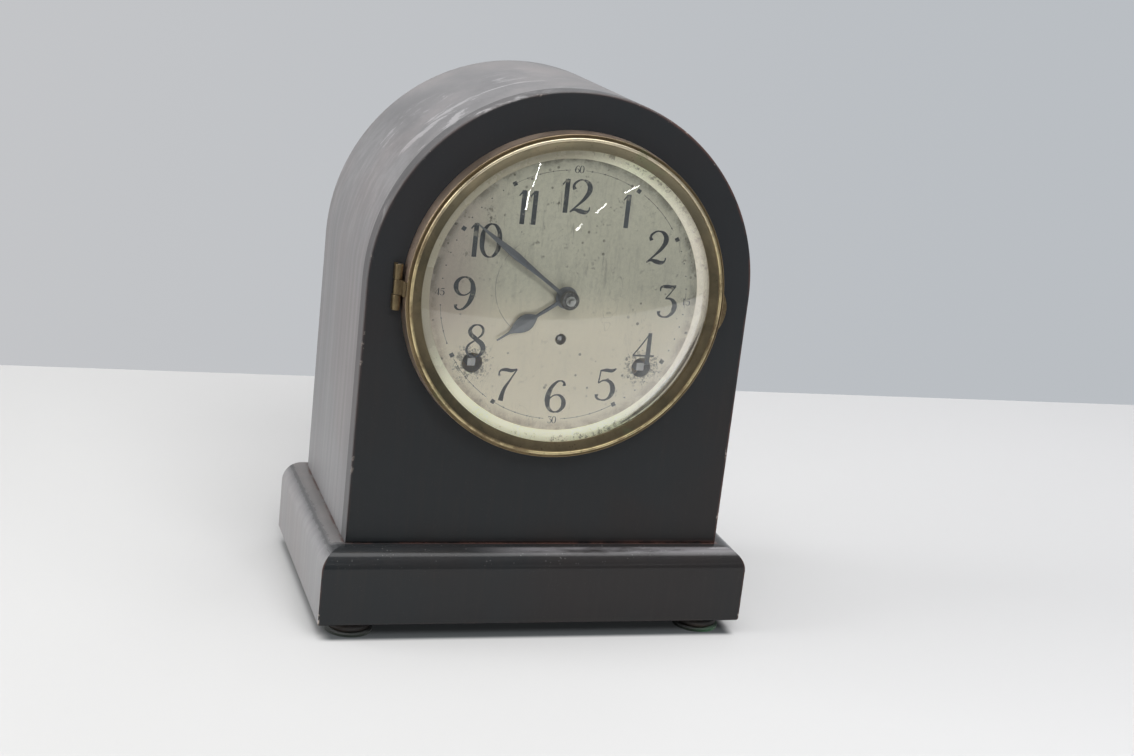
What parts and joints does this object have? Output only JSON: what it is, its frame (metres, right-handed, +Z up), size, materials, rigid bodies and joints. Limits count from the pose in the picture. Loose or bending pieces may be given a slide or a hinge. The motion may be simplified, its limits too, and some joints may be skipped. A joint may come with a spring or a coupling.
{
  "type": "beehive shelf clock",
  "caption": "Arched wooden shelf clock on a moulded plinth, with a hinged glazed bezel, a dial with two hands, and a pendulum movement that strikes a coiled gong.",
  "frame": {"origin": "on the surface that the clock stands on, under the middle of the whole clock", "axes": "+Z up, +Y from the dial to the back, +X to the right of someone who faces the dial"},
  "size_m": [0.208, 0.132, 0.2577],
  "materials": {
    "front_wood": "worn satin black varnish over wood",
    "case_wood": "dusty black varnish, worn brown at the edges",
    "inner_wood": "unvarnished softwood, darkened with age",
    "foot_wood": "dark varnished wood",
    "green_felt": "pressed felt",
    "dial_metal": "aged silvered and lacquered metal",
    "aged_brass": "tarnished spun brass",
    "reflector_metal": "tarnished pale gilt",
    "clear_glass": "clear domed glass",
    "steel": "plain steel",
    "plate_brass": "brushed sheet brass",
    "spring_steel": "blue tempered steel",
    "cast_iron": "black painted iron",
    "blued_steel": "blued steel"
  },
  "bodies": {
    "case": {"case_shell": "case_wood", "front_board": "front_wood", "back_board": "inner_wood", "plinth_mouldings": "case_wood", "base_board": "inner_wood", "corner_blocks": "inner_wood", "feet": "foot_wood", "felt_pads": "green_felt", "dial_plate": "dial_metal", "dial_screws": "steel", "bezel_hinge_case_leaf": "aged_brass", "door_hinge_case_leaves": "aged_brass", "door_button_screw": "steel", "front_plate": "plate_brass", "back_plate": "plate_brass", "pillars": "steel", "pillar_nuts": "steel", "movement_screws": "steel", "time_mainspring": "spring_steel", "strike_mainspring": "spring_steel", "suspension_post": "steel", "gong_stand": "cast_iron", "gong_coil": "spring_steel", "gong_screws": "steel"},
    "bezel_door": {"bezel_ring": "aged_brass", "bezel_glass": "clear_glass", "reflector_ring": "reflector_metal", "bezel_hinge_leaf": "aged_brass", "bezel_hinge_pin": "steel", "bezel_tab": "aged_brass"},
    "rear_door": {"back_door": "inner_wood", "door_hinge_leaves": "aged_brass", "door_hinge_pins": "steel"},
    "door_catch": {"door_button": "aged_brass"},
    "centre": {"centre_wheel": "plate_brass", "cannon_pinion": "plate_brass", "minute_hand": "blued_steel", "hand_nut": "steel"},
    "motion_wheel": {"minute_wheel": "plate_brass"},
    "hour": {"hour_wheel": "plate_brass", "hour_hand": "blued_steel"},
    "second": {"second_wheel": "plate_brass"},
    "time_great": {"time_great_wheel": "plate_brass"},
    "time_winding": {"time_winding_arbor": "steel"},
    "time_ratchet_click": {"time_click": "plate_brass"},
    "third": {"third_wheel": "plate_brass"},
    "escape": {"escape_wheel": "plate_brass"},
    "verge": {"pallet_verge": "steel", "crutch": "steel"},
    "pendulum": {"pendulum_rod": "steel", "pendulum_bob": "plate_brass"},
    "strike_great": {"strike_great_wheel": "plate_brass"},
    "strike_winding": {"strike_winding_arbor": "steel"},
    "strike_ratchet_click": {"strike_click": "plate_brass"},
    "strike_second": {"strike_second_wheel": "plate_brass"},
    "lifting": {"pin_wheel": "plate_brass"},
    "warning": {"warning_wheel": "plate_brass"},
    "fan": {"fly": "plate_brass"},
    "striker": {"hammer": "steel"},
    "speed_setter": {"regulator": "steel"}
  },
  "joints": [
    {"name": "bezel_swing", "type": "hinge", "parent": "case", "child": "bezel_door", "pos_m": [-0.0784, -0.0514, 0.1655], "axis": [0, 0, -1], "range_deg": [0, 110]},
    {"name": "rear_door_swing", "type": "hinge", "parent": "case", "child": "rear_door", "pos_m": [0.0604, 0.0606, 0.1357], "axis": [0, 0, -1], "range_deg": [0, 110]},
    {"name": "door_catch_turn", "type": "hinge", "parent": "case", "child": "door_catch", "pos_m": [-0.0685, 0.05935, 0.1027], "axis": [0, 1, 0], "range_deg": [0, 90]},
    {"name": "centre_turn", "type": "hinge", "parent": "case", "child": "centre", "pos_m": [0, -0.0202, 0.1642], "axis": [0, 1, 0], "continuous": true},
    {"name": "motion_wheel_turn", "type": "hinge", "parent": "case", "child": "motion_wheel", "pos_m": [-0.01386, -0.0421, 0.1722], "axis": [0, 1, 0], "continuous": true},
    {"name": "hour_turn", "type": "hinge", "parent": "case", "child": "hour", "pos_m": [0, -0.046, 0.1642], "axis": [0, 1, 0], "continuous": true},
    {"name": "second_turn", "type": "hinge", "parent": "case", "child": "second", "pos_m": [0.02092, -0.0202, 0.15514], "axis": [0, 1, 0], "continuous": true},
    {"name": "time_great_turn", "type": "hinge", "parent": "case", "child": "time_great", "pos_m": [0.0409, -0.0326, 0.1317], "axis": [0, 1, 0], "continuous": true},
    {"name": "third_turn", "type": "hinge", "parent": "case", "child": "third", "pos_m": [0.00936, -0.0202, 0.18041], "axis": [0, 1, 0], "continuous": true},
    {"name": "escape_turn", "type": "hinge", "parent": "case", "child": "escape", "pos_m": [0, -0.0202, 0.194], "axis": [0, 1, 0], "continuous": true},
    {"name": "time_winding_turn", "type": "hinge", "parent": "time_great", "child": "time_winding", "pos_m": [0.0409, -0.0202, 0.1317], "axis": [0, 1, 0], "continuous": true},
    {"name": "time_click_lift", "type": "hinge", "parent": "time_great", "child": "time_ratchet_click", "pos_m": [0.04743, -0.0306, 0.14177], "axis": [0, 1, 0], "range_deg": [0, 15], "stiffness_Nm_per_rad": 0.0005, "springref_deg": -17.19},
    {"name": "pendulum_swing", "type": "hinge", "parent": "case", "child": "pendulum", "pos_m": [0, 0.0076, 0.21097], "axis": [0, 1, 0], "range_deg": [-4, 4]},
    {"name": "verge_rock", "type": "hinge", "parent": "case", "child": "verge", "pos_m": [0, -0.0202, 0.21097], "axis": [0, 1, 0], "range_deg": [-4, 4]},
    {"name": "strike_great_turn", "type": "hinge", "parent": "case", "child": "strike_great", "pos_m": [-0.0409, -0.0326, 0.1317], "axis": [0, 1, 0], "continuous": true},
    {"name": "strike_second_turn", "type": "hinge", "parent": "case", "child": "strike_second", "pos_m": [-0.03293, -0.0202, 0.16145], "axis": [0, 1, 0], "continuous": true},
    {"name": "pin_wheel_turn", "type": "hinge", "parent": "case", "child": "lifting", "pos_m": [-0.02897, -0.0202, 0.1839], "axis": [0, 1, 0], "continuous": true},
    {"name": "warning_turn", "type": "hinge", "parent": "case", "child": "warning", "pos_m": [-0.01947, -0.0202, 0.20036], "axis": [0, 1, 0], "continuous": true},
    {"name": "fan_turn", "type": "hinge", "parent": "case", "child": "fan", "pos_m": [-0.03043, -0.0202, 0.21132], "axis": [0, 1, 0], "continuous": true},
    {"name": "strike_winding_turn", "type": "hinge", "parent": "strike_great", "child": "strike_winding", "pos_m": [-0.0409, -0.0202, 0.1317], "axis": [0, 1, 0], "continuous": true},
    {"name": "strike_click_lift", "type": "hinge", "parent": "strike_great", "child": "strike_ratchet_click", "pos_m": [-0.03437, -0.0306, 0.14177], "axis": [0, 1, 0], "range_deg": [0, 15], "stiffness_Nm_per_rad": 0.0005, "springref_deg": -17.19},
    {"name": "hammer_lift", "type": "hinge", "parent": "case", "child": "striker", "pos_m": [-0.056, 0.0256, 0.1592], "axis": [0, 1, 0], "range_deg": [0, 12], "stiffness_Nm_per_rad": 0.01, "springref_deg": -20.05},
    {"name": "speed_turn", "type": "hinge", "parent": "case", "child": "speed_setter", "pos_m": [0, -0.0202, 0.14405], "axis": [0, 1, 0], "range_deg": [-170, 170]}
  ],
  "couplings": [
    {"joint": "motion_wheel_turn", "follows": "centre_turn", "ratio": -0.33333},
    {"joint": "hour_turn", "follows": "centre_turn", "ratio": 0.083333},
    {"joint": "second_turn", "follows": "centre_turn", "ratio": -0.26667},
    {"joint": "time_great_turn", "follows": "centre_turn", "ratio": 0.059259},
    {"joint": "third_turn", "follows": "centre_turn", "ratio": -11},
    {"joint": "escape_turn", "follows": "centre_turn", "ratio": 110},
    {"joint": "verge_rock", "follows": "pendulum_swing", "ratio": 1},
    {"joint": "strike_second_turn", "follows": "strike_great_turn", "ratio": -4.5},
    {"joint": "pin_wheel_turn", "follows": "strike_great_turn", "ratio": 16.875},
    {"joint": "warning_turn", "follows": "strike_great_turn", "ratio": -63.281},
    {"joint": "fan_turn", "follows": "strike_great_turn", "ratio": 216.96}
  ]
}
